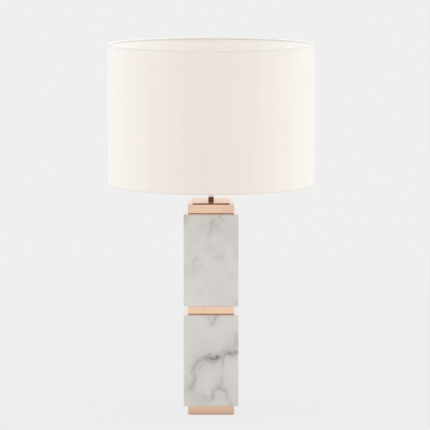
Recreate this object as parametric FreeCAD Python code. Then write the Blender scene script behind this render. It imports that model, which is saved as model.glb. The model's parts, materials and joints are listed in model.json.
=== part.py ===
import FreeCAD, Part
import math
import os

# A table lamp: two marble blocks stacked between three copper box sections, clamped on one hollow tie tube,
# with a lampholder on the tube and a fabric drum shade on the lampholder.
# Millimetres. +Z is up, the front faces -Y and the cord leaves at the back, +Y.
# The origin is on the table, under the middle of the foot.

V = FreeCAD.Vector
X_AXIS = V(1, 0, 0)
Y_AXIS = V(0, 1, 0)
Z_AXIS = V(0, 0, 1)
FULL_TURN = 360.0
QUARTER_TURN = 90.0

# Driving dimensions: the column
marble_width = 118.5
marble_height = 200.0
marble_edge_radius = 1.0
marble_bore_radius = 8.0
copper_width = 100.0
copper_wall = 2.5
copper_edge_radius = 0.7
plinth_height = 19.0
spacer_height = 16.6
cap_height = 19.8
tube_hole_clearance = 0.2
plinth_gasket_thickness = 1.0
joint_gasket_thickness = 1.2
gasket_inset = 1.0
gasket_hole_clearance = 3.0

# Foot
foot_lift = 1.0
felt_thickness = 2.0
felt_clearance = 0.5
bottom_plate_thickness = 2.0
bottom_plate_clearance = 0.3
post_radius = 6.0
post_inset = 5.5
plate_screw_radius = 1.4
plate_screw_length = 10.0
plate_screw_head_radius = 2.9
plate_screw_hole_clearance = 0.1

# Cord outlet in the back of the plinth
outlet_height = 10.5
outlet_bore_radius = 3.5
grommet_neck_radius = 5.0
grommet_flange_radius = 6.3
grommet_flange_thickness = 1.5
grommet_clearance = 0.05

# Tie tube and its fasteners
tube_radius = 5.0
tube_bore_radius = 3.5
tube_tail = 2.0
thread_clearance = 0.05
base_nut_across_flats = 17.0
base_nut_thickness = 4.0
base_washer_radius = 15.0
base_washer_thickness = 2.0
bush_length = 10.0
bush_clearance = 0.1

# Plate on the cap, which the stem stands on
cap_plate_width = 80.0
cap_plate_front_inset = 1.0
cap_plate_thickness = 2.0
cap_plate_edge_radius = 0.4
boss_radius = 9.0
boss_length = 12.0
boss_clearance = 0.3

# Stem: a foot on the cap's plate and a sleeve that carries the lampholder, both slid over the tie tube
neck_height = 31.0
stem_foot_height = 9.6
stem_foot_rise = 4.0
stem_foot_radius = 6.1
stem_foot_top_radius = 5.6
stem_sleeve_radius = 5.8

# Lampholder
locknut_across_flats = 14.0
locknut_thickness = 4.0
holder_radius = 20.5
holder_wall = 2.0
holder_neck_radius = 9.0
holder_neck_height = 5.0
holder_shoulder_rise = 6.0
holder_floor_thickness = 8.5
holder_cap_height = 16.0
tube_entry = 10.0
grub_screw_radius = 1.5
grub_screw_height = 2.5
switch_housing_height = 12.0
switch_block_skirt = 3.5
switch_block_clearance = 0.3
push_bar_height = 5.0
push_bar_radius = 2.8
push_bar_clearance = 0.4
push_knob_radius = 4.2
push_knob_length = 6.0
push_knob_edge_radius = 1.2
push_knob_gap = 0.3
push_bar_travel = 5.0
terminal_screw_offset = 10.0
terminal_screw_radius = 1.5
terminal_head_radius = 2.8
terminal_head_height = 1.8
terminal_screw_length = 5.0
terminal_screw_clearance = 0.1

# Skirt of the lampholder, with the seat for the shade
seat_radius = 24.0
seat_thickness = 2.0
skirt_radius = 19.3
skirt_root_depth = 0.6
skirt_wall = 1.5
skirt_height = 34.0
skirt_thread_pitch = 3.0
skirt_thread_start = 4.0
skirt_thread_turns = 9

# Contacts
carrier_clearance = 0.2
carrier_thickness = 5.0
shell_radius = 13.6
shell_thickness = 0.4
shell_height = 23.0
contact_thickness = 0.5
contact_width = 6.0
contact_foot_start = 10.0
contact_foot_end = 6.0
contact_rise = 3.2
contact_gap = 0.3

# Clamp ring that holds the shade down on the seat
clamp_clearance = 0.3
clamp_radius = 27.0
clamp_height = 5.7
clamp_grips = 18
clamp_grip_radius = 1.8
clamp_grip_depth = 1.0

# Shade
shade_radius = 224.0
shade_height = 303.0
fabric_thickness = 0.8
fabric_edge_radius = 0.3
liner_gap = 0.1
liner_thickness = 0.4
liner_margin = 0.6
ring_wire_radius = 1.5
ring_wire_gap = 0.05
hem_thickness = 0.5
hem_lap_gap = 0.3
fitter_recess = 27.0
fitter_clearance = 0.5
fitter_ring_radius = 32.0
fitter_ring_thickness = 2.0
spoke_radius = 2.0
spoke_count = 3
spoke_seat_clearance = 1.0
spoke_flat_end = 60.0
spoke_bend_radius = 40.0
spoke_end_lift = 1.5
weld_depth = 0.3
hem_slot_clearance = 0.2

# Bulb that screws into the lampholder
bulb_contact_radius = 4.8
bulb_contact_thickness = 1.5
insulator_height = 4.5
insulator_foot_radius = 5.5
insulator_top_radius = 10.0
bulb_cap_radius = 13.2
bulb_cap_root_depth = 0.7
bulb_cap_wall = 0.4
bulb_cap_collar = 3.0
bulb_cap_pitch = 3.6
bulb_cap_turns = 5
bulb_seam_clearance = 0.05
glass_wall = 0.8
glass_neck_radius = 12.2
glass_neck_overlap = 3.0
glass_radius = 30.0
glass_shoulder_radius = 40.0
bulb_length = 105.0
bulb_stem_radius = 3.5
bulb_stem_height = 34.0
bulb_stem_flare_height = 8.0
filament_count = 4
filament_radius = 1.2
filament_length = 32.0
filament_foot_circle = 10.0
filament_top_circle = 6.0
support_radius = 0.5
support_clearance = 0.2
support_hub_radius = 2.0
support_hub_height = 2.0

# Small values shared by all pieces
overrun = 1.0

# Heights along the column, from the table up
plinth_bottom = foot_lift
plinth_top = plinth_bottom + plinth_height
lower_marble_bottom = plinth_top + plinth_gasket_thickness
lower_marble_top = lower_marble_bottom + marble_height
spacer_bottom = lower_marble_top + joint_gasket_thickness
spacer_top = spacer_bottom + spacer_height
upper_marble_bottom = spacer_top + joint_gasket_thickness
upper_marble_top = upper_marble_bottom + marble_height
cap_bottom = upper_marble_top + joint_gasket_thickness
cap_top = cap_bottom + cap_height
plate_top = cap_top + cap_plate_thickness

# Heights along the stem and the lampholder
stem_foot_top = plate_top + stem_foot_height
locknut_bottom = plate_top + neck_height
holder_bottom = locknut_bottom + locknut_thickness
holder_floor = holder_bottom + holder_floor_thickness
tube_top = holder_bottom + tube_entry
housing_bottom = holder_bottom + holder_cap_height
housing_top = housing_bottom + switch_housing_height
seat_top = housing_top + seat_thickness
skirt_top = seat_top + skirt_height
skirt_inner_radius = skirt_radius - skirt_wall
carrier_top = housing_top + carrier_thickness
block_bottom = housing_bottom - switch_block_skirt
block_radius = holder_radius - holder_wall - switch_block_clearance
push_bar_z = housing_bottom + push_bar_height
push_bar_length = 2 * (holder_radius + push_knob_gap + push_knob_length) + push_bar_travel

# Foot
plinth_inner_width = copper_width - 2 * copper_wall
bottom_plate_bottom = felt_thickness
bottom_plate_top = bottom_plate_bottom + bottom_plate_thickness
plinth_ceiling = plinth_top - copper_wall
washer_bottom = plinth_ceiling - base_washer_thickness
nut_bottom = washer_bottom - base_nut_thickness
tube_bottom = nut_bottom - tube_tail
post_offset = plinth_inner_width / 2 - post_inset

# Shade
fitter_ring_bottom = seat_top
fitter_ring_top = fitter_ring_bottom + fitter_ring_thickness
shade_bottom = fitter_ring_bottom - fitter_recess
shade_top = shade_bottom + shade_height
fabric_inner_radius = shade_radius - fabric_thickness
liner_radius = fabric_inner_radius - liner_gap
liner_inner_radius = liner_radius - liner_thickness
ring_wire_circle = liner_inner_radius - ring_wire_gap - ring_wire_radius
bottom_wire_z = shade_bottom + hem_thickness + ring_wire_radius
top_wire_z = shade_top - hem_thickness - ring_wire_radius
hem_inner_radius = ring_wire_circle - ring_wire_radius - ring_wire_gap - hem_thickness
fitter_bore_radius = skirt_radius + fitter_clearance

# Bulb
contact_tip = carrier_top + contact_rise + contact_thickness
bulb_bottom = contact_tip + contact_gap
insulator_bottom = bulb_bottom + bulb_contact_thickness
bulb_cap_bottom = insulator_bottom + insulator_height
bulb_cap_thread_top = bulb_cap_bottom + bulb_cap_pitch * bulb_cap_turns
bulb_cap_top = bulb_cap_thread_top + bulb_cap_collar
bulb_top = bulb_bottom + bulb_length
glass_bottom = bulb_cap_top - glass_neck_overlap
bulb_stem_foot_radius = glass_neck_radius - glass_wall - bulb_seam_clearance


def cylinder(radius, bottom, top, x=0.0, y=0.0):
    """An upright cylinder between two heights."""
    return Part.makeCylinder(radius, top - bottom, V(x, y, bottom), Z_AXIS)


def tube(outer, inner, bottom, top):
    """An upright tube on the lamp's axis."""
    bore = cylinder(inner, bottom - overrun, top + overrun)
    return cylinder(outer, bottom, top).cut(bore)


def square(width, bottom, top, depth=None):
    """A square or rectangular block centred on the lamp's axis."""
    depth = width if depth is None else depth
    return Part.makeBox(width, depth, top - bottom, V(-width / 2, -depth / 2, bottom))


def revolved(points):
    """A solid of revolution about the lamp's axis from an outline of (radius, height) points."""
    outline = [V(radius, 0, height) for radius, height in points]
    face = Part.Face(Part.makePolygon(outline + outline[:1]))
    return face.revolve(V(0, 0, 0), Z_AXIS, FULL_TURN)


def revolved_edges(edges):
    """A solid of revolution about the lamp's axis from a closed run of edges."""
    face = Part.Face(Part.Wire(edges))
    return face.revolve(V(0, 0, 0), Z_AXIS, FULL_TURN)


def hexagon(across_flats, bottom, top):
    """A hexagonal prism on the lamp's axis."""
    corner_radius = across_flats / 2 / math.cos(math.pi / 6)
    corners = []
    for i in range(6):
        angle = math.pi / 3 * i
        corners.append(V(corner_radius * math.cos(angle), corner_radius * math.sin(angle), bottom))
    face = Part.Face(Part.makePolygon(corners + corners[:1]))
    return face.extrude(V(0, 0, top - bottom))


def nut(across_flats, bottom, top):
    """A hexagon nut on the tie tube."""
    blank = hexagon(across_flats, bottom, top)
    return blank.cut(cylinder(tube_radius + thread_clearance, bottom - overrun, top + overrun))


def turned(shape, degrees):
    """A copy of a shape, turned about the lamp's axis."""
    copy = shape.copy()
    copy.rotate(V(0, 0, 0), Z_AXIS, degrees)
    return copy


def at_corners(offset):
    """The four places of a square pattern."""
    return [(sx * offset, sy * offset) for sx in (-1, 1) for sy in (-1, 1)]


def copper_shell(bottom, top):
    """A square copper box section, open below, with rounded outer edges and a hole for the tie tube."""
    block = square(copper_width, bottom, top)
    block = block.makeFillet(copper_edge_radius, block.Edges)
    inside = copper_width - 2 * copper_wall
    block = block.cut(square(inside, bottom - overrun, top - copper_wall))
    hole = cylinder(tube_radius + tube_hole_clearance, bottom, top + overrun)
    return block.cut(hole)


def gasket(bottom, thickness):
    """A thin square gasket between stone and copper, set in a little from the copper's edge."""
    sheet = square(copper_width - 2 * gasket_inset, bottom, bottom + thickness)
    hole = cylinder(tube_radius + gasket_hole_clearance, bottom - overrun, bottom + thickness + overrun)
    return sheet.cut(hole)


def marble_block(bottom):
    """A marble block with softened edges and a through bore for the tie tube."""
    top = bottom + marble_height
    block = square(marble_width, bottom, top)
    block = block.makeFillet(marble_edge_radius, block.Edges)
    return block.cut(cylinder(marble_bore_radius, bottom - overrun, top + overrun))


def felt_pad():
    width = plinth_inner_width - 2 * felt_clearance
    return square(width, 0.0, felt_thickness)


def bottom_plate():
    """The steel plate that closes the plinth, with countersunk holes for its screws."""
    width = plinth_inner_width - 2 * bottom_plate_clearance
    plate = square(width, bottom_plate_bottom, bottom_plate_top)
    clearance = plate_screw_hole_clearance
    for x, y in at_corners(post_offset):
        head = Part.makeCone(
            plate_screw_head_radius + clearance, plate_screw_radius + clearance,
            plate_screw_head_radius - plate_screw_radius, V(x, y, bottom_plate_bottom), Z_AXIS)
        hole_top = bottom_plate_top + overrun
        hole = cylinder(plate_screw_radius + clearance, bottom_plate_bottom, hole_top, x, y)
        plate = plate.cut(head).cut(hole)
    return plate


def bottom_plate_screws():
    """Four countersunk screws, from the bottom plate into the plinth's posts."""
    screws = []
    for x, y in at_corners(post_offset):
        head = Part.makeCone(
            plate_screw_head_radius, plate_screw_radius,
            plate_screw_head_radius - plate_screw_radius, V(x, y, bottom_plate_bottom), Z_AXIS)
        tip = bottom_plate_bottom + plate_screw_length
        shank = cylinder(plate_screw_radius, bottom_plate_bottom, tip, x, y)
        screws.append(head.fuse(shank).removeSplitter())
    return Part.makeCompound(screws)


def plinth():
    """The copper foot: a shell with a post in each corner and the cord's hole in the back wall."""
    shell = copper_shell(plinth_bottom, plinth_top)
    inside = square(plinth_inner_width, bottom_plate_top, plinth_ceiling + overrun)
    for x, y in at_corners(post_offset):
        post = cylinder(post_radius, bottom_plate_top, plinth_ceiling, x, y).common(inside)
        shell = shell.fuse(post)
    shell = shell.removeSplitter()
    screw_hole_radius = plate_screw_radius + plate_screw_hole_clearance
    for x, y in at_corners(post_offset):
        hole_top = bottom_plate_bottom + plate_screw_length + overrun
        shell = shell.cut(cylinder(screw_hole_radius, plinth_bottom, hole_top, x, y))
    outlet = Part.makeCylinder(
        grommet_neck_radius + grommet_clearance, copper_wall + 2 * overrun,
        V(0, plinth_inner_width / 2 - overrun, outlet_height), Y_AXIS)
    return shell.cut(outlet)


def cord_grommet():
    """A flanged rubber grommet in the plinth's back wall."""
    inner_face = plinth_inner_width / 2
    outer_face = copper_width / 2
    length = copper_wall + 2 * grommet_flange_thickness
    start = inner_face - grommet_flange_thickness
    neck = Part.makeCylinder(grommet_neck_radius, length, V(0, start, outlet_height), Y_AXIS)
    inner = Part.makeCylinder(
        grommet_flange_radius, grommet_flange_thickness, V(0, start, outlet_height), Y_AXIS)
    outer = Part.makeCylinder(
        grommet_flange_radius, grommet_flange_thickness, V(0, outer_face, outlet_height), Y_AXIS)
    body = neck.fuse([inner, outer]).removeSplitter()
    bore = Part.makeCylinder(
        outlet_bore_radius, length + 2 * overrun, V(0, start - overrun, outlet_height), Y_AXIS)
    return body.cut(bore)


def base_washer():
    """The steel washer between the base nut and the plinth's ceiling."""
    return tube(base_washer_radius, tube_radius + tube_hole_clearance, washer_bottom, plinth_ceiling)


def centring_bushes():
    """Four plastic bushes that centre the tie tube in the ends of both marble bores."""
    outer = marble_bore_radius - bush_clearance
    inner = tube_radius + bush_clearance
    bushes = []
    for bottom in (lower_marble_bottom, upper_marble_bottom):
        top = bottom + marble_height
        bushes.append(tube(outer, inner, bottom, bottom + bush_length))
        bushes.append(tube(outer, inner, top - bush_length, top))
    return Part.makeCompound(bushes)


def cap():
    """The copper cap, with a hole for the boss of the plate on top of it."""
    shell = copper_shell(cap_bottom, cap_top)
    return shell.cut(cylinder(boss_radius + boss_clearance, cap_bottom, cap_top + overrun))


def cap_plate():
    """The dark plate on the cap. Its threaded boss takes the tie tube and draws the column together."""
    depth = copper_width - 2 * cap_plate_front_inset
    plate = square(cap_plate_width, cap_top, plate_top, depth)
    upper_edges = [e for e in plate.Edges if e.CenterOfMass.z > cap_top]
    plate = plate.makeFillet(cap_plate_edge_radius, upper_edges)
    boss_bottom = cap_top - boss_length
    plate = plate.fuse(cylinder(boss_radius, boss_bottom, cap_top)).removeSplitter()
    return plate.cut(cylinder(tube_radius + thread_clearance, boss_bottom - overrun, plate_top + overrun))


def stem_foot():
    """The dark foot of the stem: a short collar that tapers upwards."""
    bore = tube_radius + thread_clearance
    return revolved([
        (bore, plate_top),
        (stem_foot_radius, plate_top),
        (stem_foot_radius, plate_top + stem_foot_rise),
        (stem_foot_top_radius, stem_foot_top),
        (bore, stem_foot_top),
    ])


def stem_sleeve():
    """The pale sleeve between the stem's foot and the lampholder's locknut."""
    return tube(stem_sleeve_radius, tube_radius + thread_clearance, stem_foot_top, locknut_bottom)


def holder_cap():
    """The lower shell of the lampholder: a threaded neck, a sloping shoulder and a short wall."""
    shoulder_bottom = holder_bottom + holder_neck_height
    shoulder_top = shoulder_bottom + holder_shoulder_rise
    slope = holder_shoulder_rise / (holder_radius - holder_neck_radius)
    cavity_radius = holder_radius - holder_wall
    bore = tube_radius + thread_clearance
    wall_rise = holder_wall * math.sqrt(1 + slope * slope)
    floor_radius = holder_neck_radius + (holder_floor - shoulder_bottom - wall_rise) / slope
    cavity_corner = shoulder_bottom + wall_rise + (cavity_radius - holder_neck_radius) * slope
    shell = revolved([
        (bore, holder_bottom),
        (holder_neck_radius, holder_bottom),
        (holder_neck_radius, shoulder_bottom),
        (holder_radius, shoulder_top),
        (holder_radius, housing_bottom),
        (cavity_radius, housing_bottom),
        (cavity_radius, cavity_corner),
        (floor_radius, holder_floor),
        (bore, holder_floor),
    ])
    axis_point = V(0, 0, holder_bottom + grub_screw_height)
    hole = Part.makeCylinder(grub_screw_radius + thread_clearance, holder_neck_radius, axis_point, Y_AXIS)
    return shell.cut(hole)


def holder_grub_screw():
    """The screw through the neck that keeps the lampholder from turning on its tube."""
    start = tube_radius + thread_clearance
    screw_z = holder_bottom + grub_screw_height
    return Part.makeCylinder(grub_screw_radius, holder_neck_radius - start, V(0, start, screw_z), Y_AXIS)


def push_bar_bore(radius):
    """The way of the push bar through the lampholder, along X."""
    reach = holder_radius + overrun
    return Part.makeCylinder(radius, 2 * reach, V(-reach, 0, push_bar_z), X_AXIS)


def switch_housing():
    wall = tube(holder_radius, holder_radius - holder_wall, housing_bottom, housing_top)
    return wall.cut(push_bar_bore(push_bar_radius + push_bar_clearance))


def switch_block():
    """The insulating block inside the housing, bored for the push bar and the terminal screws."""
    block = cylinder(block_radius, block_bottom, housing_top)
    block = block.cut(push_bar_bore(push_bar_radius + push_bar_clearance))
    hole_top = block_bottom + terminal_screw_length + terminal_screw_clearance
    for side in (-1, 1):
        radius = terminal_screw_radius + terminal_screw_clearance
        hole = cylinder(radius, block_bottom - overrun, hole_top, 0.0, side * terminal_screw_offset)
        block = block.cut(hole)
    return block


def terminal_screws():
    screws = []
    for side in (-1, 1):
        y = side * terminal_screw_offset
        head = cylinder(terminal_head_radius, block_bottom - terminal_head_height, block_bottom, 0.0, y)
        shank = cylinder(terminal_screw_radius, block_bottom, block_bottom + terminal_screw_length, 0.0, y)
        screws.append(head.fuse(shank).removeSplitter())
    return Part.makeCompound(screws)


def switch_push_bar():
    """The bar that is pushed from side to side. At rest it stands pushed towards -X."""
    start = -(push_bar_length + push_bar_travel) / 2
    bar = Part.makeCylinder(push_bar_radius, push_bar_length, V(start, 0, push_bar_z), X_AXIS)
    for x in (start, start + push_bar_length - push_knob_length):
        knob = Part.makeCylinder(push_knob_radius, push_knob_length, V(x, 0, push_bar_z), X_AXIS)
        knob = knob.makeFillet(push_knob_edge_radius, [e for e in knob.Edges if e.Closed])
        bar = bar.fuse(knob)
    return bar.removeSplitter()


def contact_carrier():
    return cylinder(skirt_inner_radius - carrier_clearance, housing_top, carrier_top)


def threaded_outline(crest, root, start, pitch, turns):
    """Outline points up the outside of a threaded tube: one ridge for each turn."""
    points = []
    for i in range(turns):
        z = start + i * pitch
        points.append((root, z))
        points.append((crest, z + pitch / 3))
        points.append((crest, z + pitch * 2 / 3))
    points.append((root, start + turns * pitch))
    return points


def holder_skirt():
    """The skirt of the lampholder: the seat for the shade below, an outside thread above it."""
    crest = skirt_radius
    root = skirt_radius - skirt_root_depth
    outline = [(skirt_inner_radius, housing_top), (seat_radius, housing_top)]
    outline += [(seat_radius, seat_top), (root, seat_top)]
    outline += threaded_outline(
        crest, root, seat_top + skirt_thread_start, skirt_thread_pitch, skirt_thread_turns)
    outline += [(root, skirt_top), (skirt_inner_radius, skirt_top)]
    return revolved(outline)


def screw_shell():
    """The brass shell that the bulb screws into."""
    return tube(shell_radius + shell_thickness, shell_radius, carrier_top, carrier_top + shell_height)


def centre_contact():
    """A bent brass leaf: its foot lies on the carrier and its tip meets the bulb's contact."""
    base = carrier_top
    under_tip = base + contact_rise
    tip = under_tip + contact_thickness
    reach = contact_width / 2
    outline = [
        V(-contact_foot_start, -reach, base),
        V(-contact_foot_end, -reach, base),
        V(-reach, -reach, under_tip),
        V(reach, -reach, under_tip),
        V(reach, -reach, tip),
        V(-reach - contact_thickness, -reach, tip),
        V(-contact_foot_end - contact_thickness, -reach, base + contact_thickness),
        V(-contact_foot_start, -reach, base + contact_thickness),
    ]
    face = Part.Face(Part.makePolygon(outline + outline[:1]))
    return face.extrude(V(0, contact_width, 0))


def clamp_ring():
    """The ring on the skirt's thread that holds the shade's fitter down, with grips round its rim."""
    bottom = fitter_ring_top + clamp_clearance
    top = bottom + clamp_height
    ring = tube(clamp_radius, skirt_radius + clamp_clearance, bottom, top)
    grip_circle = clamp_radius + clamp_grip_radius - clamp_grip_depth
    cutters = []
    for i in range(clamp_grips):
        angle = 2 * math.pi * i / clamp_grips
        x = grip_circle * math.cos(angle)
        y = grip_circle * math.sin(angle)
        cutters.append(cylinder(clamp_grip_radius, bottom - overrun, top + overrun, x, y))
    return ring.cut(cutters)


def shade_fabric():
    wall = tube(shade_radius, fabric_inner_radius, shade_bottom, shade_top)
    rims = [e for e in wall.Edges if e.Closed and abs(e.Curve.Radius - shade_radius) < fabric_edge_radius]
    return wall.makeFillet(fabric_edge_radius, rims)


def shade_liner():
    return tube(liner_radius, liner_inner_radius, shade_bottom + liner_margin, shade_top - liner_margin)


def ring_wire(height):
    """One of the two wire rings that hold the shade round."""
    return Part.makeTorus(ring_wire_circle, ring_wire_radius, V(0, 0, height), Z_AXIS)


def hem(edge_z, wire_z, into_shade):
    """The fabric rolled round a wire ring: a flat strip on the rim, a short drop inside the wire
    and a lap behind the wire that ends just short of the liner.
    into_shade is 1 where the shade lies above the edge and -1 where it lies below."""
    strip_z = edge_z + into_shade * hem_thickness
    lap_start = wire_z + into_shade * (ring_wire_radius + ring_wire_gap)
    lap_end = lap_start + into_shade * hem_thickness
    drop_outer = hem_inner_radius + hem_thickness
    lap_radius = liner_inner_radius - hem_lap_gap
    return revolved([
        (hem_inner_radius, edge_z),
        (fabric_inner_radius, edge_z),
        (fabric_inner_radius, strip_z),
        (drop_outer, strip_z),
        (drop_outer, lap_start),
        (lap_radius, lap_start),
        (lap_radius, lap_end),
        (hem_inner_radius, lap_end),
    ])


def spoke_wire(radius):
    """One fitter spoke, along +X: level under the fitter ring, then sloping down to the bottom wire ring."""
    level_z = fitter_ring_bottom - spoke_radius
    start = V(seat_radius + spoke_seat_clearance, 0, level_z)
    corner = V(spoke_flat_end, 0, level_z)
    end_radius = ring_wire_circle - ring_wire_radius + weld_depth
    end = V(end_radius, 0, bottom_wire_z + spoke_end_lift)
    slope = (end - corner).normalize()
    half_turn = math.acos(slope.x) / 2
    tangent = spoke_bend_radius * math.tan(half_turn)
    bend_start = corner - X_AXIS * tangent
    bend_end = corner + slope * tangent
    to_middle = spoke_bend_radius / math.cos(half_turn) - spoke_bend_radius
    inward = V(-math.sin(half_turn), 0, -math.cos(half_turn))
    bend_middle = corner + inward * to_middle
    path = Part.Wire([
        Part.LineSegment(start, bend_start).toShape(),
        Part.Arc(bend_start, bend_middle, bend_end).toShape(),
        Part.LineSegment(bend_end, end).toShape(),
    ])
    section = Part.Wire([Part.Circle(start, X_AXIS, radius).toShape()])
    return path.makePipeShell([section], True, True)


def spoke_angle(i):
    """The first spoke points to the back, the others lie evenly round from it."""
    return QUARTER_TURN + i * FULL_TURN / spoke_count


def fitter_ring():
    return tube(fitter_ring_radius, fitter_bore_radius, fitter_ring_bottom, fitter_ring_top)


def bottom_hem():
    """The lower hem, slit where the spokes pass through it."""
    strip = hem(shade_bottom, bottom_wire_z, 1)
    wide_spoke = spoke_wire(spoke_radius + hem_slot_clearance)
    for i in range(spoke_count):
        strip = strip.cut(turned(wide_spoke, spoke_angle(i)))
    return strip


def bulb_contact():
    return cylinder(bulb_contact_radius, bulb_bottom, insulator_bottom)


def bulb_insulator():
    return Part.makeCone(
        insulator_foot_radius, insulator_top_radius, insulator_height, V(0, 0, insulator_bottom), Z_AXIS)


def bulb_cap():
    """The bulb's screw cap: a thin ridged shell with a plain collar round the glass."""
    root = bulb_cap_radius - bulb_cap_root_depth
    inner = root - bulb_cap_wall
    collar_inner = glass_neck_radius + bulb_seam_clearance
    outline = [(insulator_foot_radius, bulb_cap_bottom)]
    outline += threaded_outline(bulb_cap_radius, root, bulb_cap_bottom, bulb_cap_pitch, bulb_cap_turns)
    outline += [
        (bulb_cap_radius, bulb_cap_thread_top),
        (bulb_cap_radius, bulb_cap_top),
        (collar_inner, bulb_cap_top),
        (collar_inner, bulb_cap_thread_top - bulb_cap_wall),
        (inner, bulb_cap_thread_top - bulb_cap_wall),
        (inner, bulb_cap_bottom + bulb_cap_wall),
        (insulator_foot_radius, bulb_cap_bottom + bulb_cap_wall),
    ]
    return revolved(outline)


def arc_between(centre, radius, first, last):
    """An arc in the XZ plane between two angles in radians."""
    middle = (first + last) / 2
    points = [
        V(centre.x + radius * math.cos(a), 0, centre.z + radius * math.sin(a)) for a in (first, middle, last)
    ]
    return Part.Arc(*points).toShape()


def glass_profile(offset):
    """One side of the glass, from the neck to the crown, offset inwards: its edges and its two ends."""
    globe = glass_radius - offset
    shoulder = glass_shoulder_radius + offset
    neck = glass_neck_radius - offset
    globe_centre = V(0, 0, bulb_top - glass_radius)
    across = glass_neck_radius + glass_shoulder_radius
    between = glass_radius + glass_shoulder_radius
    drop = math.sqrt(between * between - across * across)
    shoulder_centre = V(across, 0, globe_centre.z - drop)
    tilt = math.atan2(drop, across)
    foot = V(neck, 0, glass_bottom)
    neck_top = V(neck, 0, shoulder_centre.z)
    edges = [
        Part.LineSegment(foot, neck_top).toShape(),
        arc_between(shoulder_centre, shoulder, math.pi, math.pi - tilt),
        arc_between(globe_centre, globe, -tilt, math.pi / 2),
    ]
    return edges, foot, V(0, 0, globe_centre.z + globe)


def bulb_glass():
    """The glass envelope: a neck, a hollow shoulder and a round crown, tangent to each other."""
    outer, outer_foot, outer_crown = glass_profile(0.0)
    inner, inner_foot, inner_crown = glass_profile(glass_wall)
    edges = outer + [Part.LineSegment(outer_crown, inner_crown).toShape()]
    edges += inner[::-1] + [Part.LineSegment(inner_foot, outer_foot).toShape()]
    return revolved_edges(Part.__sortEdges__(edges))


def bulb_stem():
    """The glass stem inside the envelope, flared at its foot."""
    top = glass_bottom + bulb_stem_height
    return revolved([
        (0.0, glass_bottom),
        (bulb_stem_foot_radius, glass_bottom),
        (bulb_stem_radius, glass_bottom + bulb_stem_flare_height),
        (bulb_stem_radius, top),
        (0.0, top),
    ])


def filament_ends(i):
    """The lower and upper end of one filament."""
    angle = 2 * math.pi * (i + 0.5) / filament_count
    foot_z = glass_bottom + bulb_stem_height + support_hub_height
    direction = V(math.cos(angle), math.sin(angle), 0)
    foot = direction * filament_foot_circle + V(0, 0, foot_z)
    slant = filament_foot_circle - filament_top_circle
    rise = math.sqrt(filament_length * filament_length - slant * slant)
    top = direction * filament_top_circle + V(0, 0, foot_z + rise)
    return foot, top


def rod(start, end, radius):
    return Part.makeCylinder(radius, (end - start).Length, start, end - start)


def filaments():
    """Straight light-giving rods that lean together at the top."""
    return Part.makeCompound([rod(*filament_ends(i), filament_radius) for i in range(filament_count)])


def filament_supports():
    """Two small hubs with a thin wire to each end of each filament. A post joins the hubs."""
    lower_hub_z = glass_bottom + bulb_stem_height
    upper_z = filament_ends(0)[1].z
    lower_hub = cylinder(support_hub_radius, lower_hub_z, lower_hub_z + support_hub_height)
    post = cylinder(support_radius, lower_hub_z, upper_z)
    upper_hub = cylinder(support_hub_radius, upper_z, upper_z + support_hub_height)
    parts = [post, upper_hub]
    step = Z_AXIS * (support_radius + support_clearance)
    for i in range(filament_count):
        for end, shift in zip(filament_ends(i), (-step, step)):
            outward = V(end.x, end.y, 0).normalize() * (support_hub_radius / 2)
            parts.append(rod(V(0, 0, end.z) + outward + shift, end + shift, support_radius))
    return lower_hub.fuse(parts).removeSplitter()


def all_nodes():
    """Every node of the lamp by its name."""
    nodes = {
        "felt_pad": felt_pad(),
        "bottom_plate": bottom_plate(),
        "bottom_plate_screws": bottom_plate_screws(),
        "plinth": plinth(),
        "cord_grommet": cord_grommet(),
        "base_nut": nut(base_nut_across_flats, nut_bottom, washer_bottom),
        "base_washer": base_washer(),
        "plinth_gasket": gasket(plinth_top, plinth_gasket_thickness),
        "lower_marble": marble_block(lower_marble_bottom),
        "lower_spacer_gasket": gasket(lower_marble_top, joint_gasket_thickness),
        "spacer": copper_shell(spacer_bottom, spacer_top),
        "upper_spacer_gasket": gasket(spacer_top, joint_gasket_thickness),
        "upper_marble": marble_block(upper_marble_bottom),
        "cap_gasket": gasket(upper_marble_top, joint_gasket_thickness),
        "centring_bushes": centring_bushes(),
        "cap": cap(),
        "cap_plate": cap_plate(),
        "tie_tube": tube(tube_radius, tube_bore_radius, tube_bottom, tube_top),
        "stem_foot": stem_foot(),
        "stem_sleeve": stem_sleeve(),
        "holder_locknut": nut(locknut_across_flats, locknut_bottom, holder_bottom),
        "holder_cap": holder_cap(),
        "holder_grub_screw": holder_grub_screw(),
        "switch_housing": switch_housing(),
        "switch_block": switch_block(),
        "terminal_screws": terminal_screws(),
        "switch_push_bar": switch_push_bar(),
        "contact_carrier": contact_carrier(),
        "holder_skirt": holder_skirt(),
        "screw_shell": screw_shell(),
        "centre_contact": centre_contact(),
        "clamp_ring": clamp_ring(),
        "shade_fabric": shade_fabric(),
        "shade_liner": shade_liner(),
        "top_ring_wire": ring_wire(top_wire_z),
        "bottom_ring_wire": ring_wire(bottom_wire_z),
        "top_hem": hem(shade_top, top_wire_z, -1),
        "bottom_hem": bottom_hem(),
        "fitter_ring": fitter_ring(),
        "bulb_contact": bulb_contact(),
        "bulb_insulator": bulb_insulator(),
        "bulb_cap": bulb_cap(),
        "bulb_glass": bulb_glass(),
        "bulb_stem": bulb_stem(),
        "filament_supports": filament_supports(),
        "filaments": filaments(),
    }
    spoke = spoke_wire(spoke_radius)
    for i in range(spoke_count):
        nodes[f"fitter_spoke_{i + 1}"] = turned(spoke, spoke_angle(i))
    return nodes


def main():
    os.makedirs("parts", exist_ok=True)
    for name, shape in all_nodes().items():
        solids = shape.Solids
        sound = shape.isValid() and len(solids) > 0 and all(s.isClosed() for s in solids)
        verdict = "ok" if sound else "BAD"
        print(f"{name:22s} solids {len(solids)}  volume {shape.Volume:12.1f}  {verdict}")
        shape.exportStep(f"parts/{name}.step")


main()
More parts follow.
